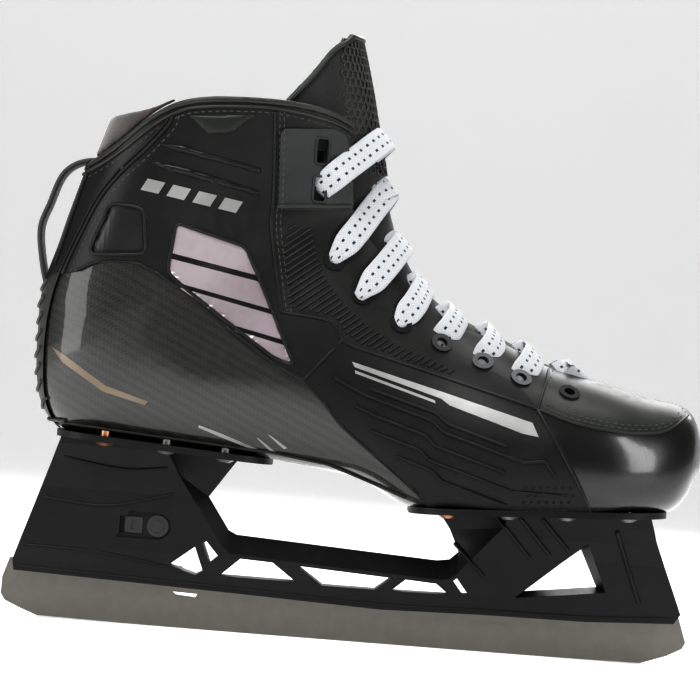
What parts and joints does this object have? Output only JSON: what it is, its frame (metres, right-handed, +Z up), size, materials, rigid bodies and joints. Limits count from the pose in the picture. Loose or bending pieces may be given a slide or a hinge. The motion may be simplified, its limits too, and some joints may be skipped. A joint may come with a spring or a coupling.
{
  "type": "goalkeeper ice skate",
  "caption": "Right-foot goalkeeper's ice-hockey skate: moulded boot with laced throat and felt tongue on a two-tower holder with a quick-release steel runner.",
  "frame": {"origin": "on the ice under the runner's flat, in the runner's own plane, midway between heel and toe of the runner", "axes": "+X to the toe, +Y to the inner (medial) side, +Z up from the ice"},
  "size_m": [0.312, 0.1021, 0.2747],
  "materials": {
    "carbon_composite": "glossy lacquered twill",
    "lining_fabric": "brushed fabric",
    "footbed_foam": "moulded foam",
    "grey_tpu": "satin moulded",
    "black_tpu": "satin moulded",
    "toe_plastic": "glossy",
    "vamp_leather": "satin",
    "binding": "grained",
    "tongue_felt": "felt with a rubber mesh front",
    "pad_felt": "soft felt",
    "webbing": "woven",
    "lace_cotton": "flat woven",
    "facing_rubber": "ribbed",
    "wrap_rubber": "matte",
    "tab_rubber": "grained",
    "silver_stripe": "metallic stripes on gloss black",
    "holder_nylon": "moulded nylon",
    "steel": "ground",
    "spring_steel": "plain",
    "copper": "bright copper",
    "rivet_steel": "dull",
    "eyelet_metal": "black",
    "button_plastic": "satin"
  },
  "bodies": {
    "boot": {"boot_shell": "carbon_composite", "lining": "lining_fabric", "footbed": "footbed_foam", "heel_stay": "grey_tpu", "achilles_band": "black_tpu", "toe_cap": "toe_plastic", "vamp": "vamp_leather", "quarter_lateral": "black_tpu", "quarter_medial": "black_tpu", "window_insert_lateral": "silver_stripe", "window_insert_medial": "silver_stripe", "facing_lateral": "facing_rubber", "facing_medial": "facing_rubber", "forefoot_wrap_lateral": "wrap_rubber", "forefoot_wrap_medial": "wrap_rubber", "ankle_tab_lateral": "tab_rubber", "ankle_tab_medial": "tab_rubber", "eyelets_lateral": "eyelet_metal", "eyelets_medial": "eyelet_metal", "collar_binding": "binding", "tongue_base": "tongue_felt", "heel_loop": "webbing", "laces": "lace_cotton", "blade_holder": "holder_nylon", "latch_clip": "spring_steel", "button_spring": "spring_steel", "copper_rivets": "copper", "steel_rivets": "rivet_steel"},
    "runner_body": {"runner": "steel"},
    "tongue_flap": {"tongue_top": "tongue_felt"},
    "tendon_flap": {"tendon_guard": "pad_felt"},
    "button_body": {"release_button": "button_plastic"},
    "slider_body": {"lock_slider": "button_plastic"}
  },
  "joints": [
    {"name": "runner_release", "type": "hinge", "parent": "boot", "child": "runner_body", "pos_m": [0.1435, 0, 0.026], "axis": [0, -1, 0], "range_deg": [0, 10], "deforming": ["latch_clip"]},
    {"name": "button_press", "type": "slide", "parent": "boot", "child": "button_body", "axis": [0, 1, 0], "range_m": [0, 0.0025], "stiffness_N_per_m": 400, "deforming": ["button_spring", "latch_clip"]},
    {"name": "lock_slide", "type": "slide", "parent": "boot", "child": "slider_body", "axis": [-1, 0, 0], "range_m": [0, 0.002]},
    {"name": "tongue_flex", "type": "hinge", "parent": "boot", "child": "tongue_flap", "pos_m": [0.0018, 0, 0.23], "axis": [0, 1, 0], "range_deg": [0, 30], "stiffness_Nm_per_rad": 0.6},
    {"name": "tendon_guard_flex", "type": "hinge", "parent": "boot", "child": "tendon_flap", "pos_m": [-0.127, 0, 0.2115], "axis": [0, -1, 0], "range_deg": [0, 15], "stiffness_Nm_per_rad": 1.2}
  ]
}
